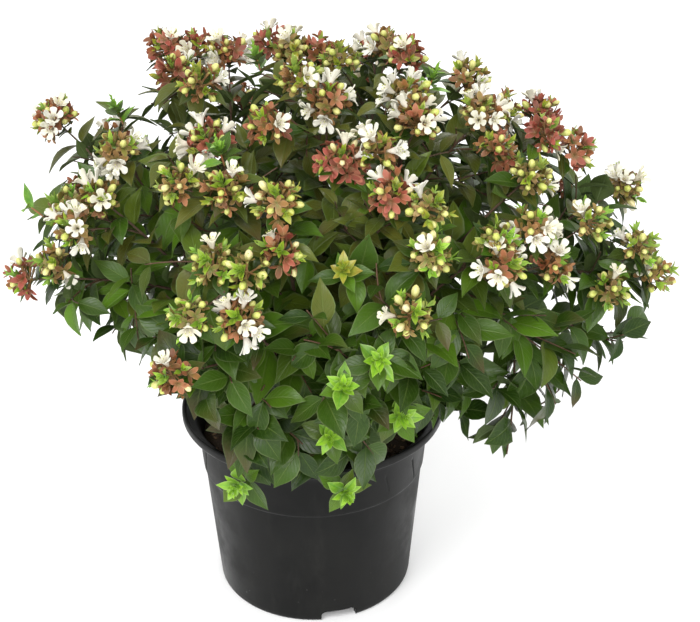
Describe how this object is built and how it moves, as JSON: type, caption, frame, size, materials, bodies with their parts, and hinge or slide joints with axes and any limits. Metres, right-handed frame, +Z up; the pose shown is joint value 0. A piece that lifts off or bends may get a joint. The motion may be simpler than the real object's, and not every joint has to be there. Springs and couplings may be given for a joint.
{
  "type": "potted shrub",
  "caption": "Dwarf flowering shrub with glossy opposite leaves, starry red calyces and small white trumpet flowers, in a black flared nursery pot.",
  "frame": {"origin": "on the surface that the pot stands on, under the middle of the pot", "axes": "+Z up, -Y to the front where the young rosettes hang over the rim, +X to the right seen from the front"},
  "size_m": [0.4523, 0.3724, 0.4108],
  "materials": {
    "pot_plastic": "black injection-moulded polypropylene, slightly dusty",
    "compost": "moist peat and bark compost, which weighs about as much as light wood",
    "bark": "thin red-brown bark",
    "leaf": "glossy dark green leaf, paler below",
    "young_leaf": "lime green young leaf",
    "calyx": "brick red to orange-brown calyx",
    "petal": "white petal with a trace of pink",
    "bud": "pale yellow-green bud"
  },
  "bodies": {
    "root": {"nursery_pot": "pot_plastic", "potting_soil": "compost", "woody_crown": "bark", "shoot_01": "leaf", "shoot_02": "leaf", "shoot_03": "leaf", "shoot_04": "leaf", "shoot_05": "leaf", "shoot_06": "leaf", "shoot_07": "leaf", "shoot_08": "leaf", "shoot_09": "leaf", "shoot_10": "leaf", "shoot_11": "leaf", "shoot_12": "leaf", "shoot_13": "leaf", "shoot_14": "leaf", "shoot_15": "leaf", "shoot_16": "leaf", "shoot_17": "leaf", "shoot_18": "leaf", "shoot_19": "leaf", "flower_head_01": "petal", "flower_head_02": "petal", "flower_head_03": "petal", "flower_head_04": "petal", "flower_head_05": "petal", "flower_head_06": "petal", "flower_head_07": "petal", "flower_head_08": "petal", "flower_head_09": "petal", "flower_head_10": "petal", "flower_head_11": "petal", "flower_head_12": "petal", "flower_head_13": "petal", "flower_head_14": "petal", "calyx_head_01": "calyx", "calyx_head_02": "calyx", "calyx_head_03": "calyx", "calyx_head_04": "calyx", "calyx_head_05": "calyx", "calyx_head_06": "calyx", "calyx_head_07": "calyx", "calyx_head_08": "calyx", "bud_head_01": "bud", "bud_head_02": "bud", "bud_head_03": "bud", "bud_head_04": "bud", "bud_head_05": "bud", "bud_head_06": "bud", "bud_head_07": "bud", "bud_head_08": "bud", "bud_head_09": "bud", "bud_head_10": "bud", "bud_head_11": "bud", "young_rosette_01": "young_leaf", "young_rosette_02": "young_leaf", "young_rosette_03": "young_leaf", "young_rosette_04": "young_leaf", "young_rosette_05": "young_leaf"}
  },
  "joints": []
}
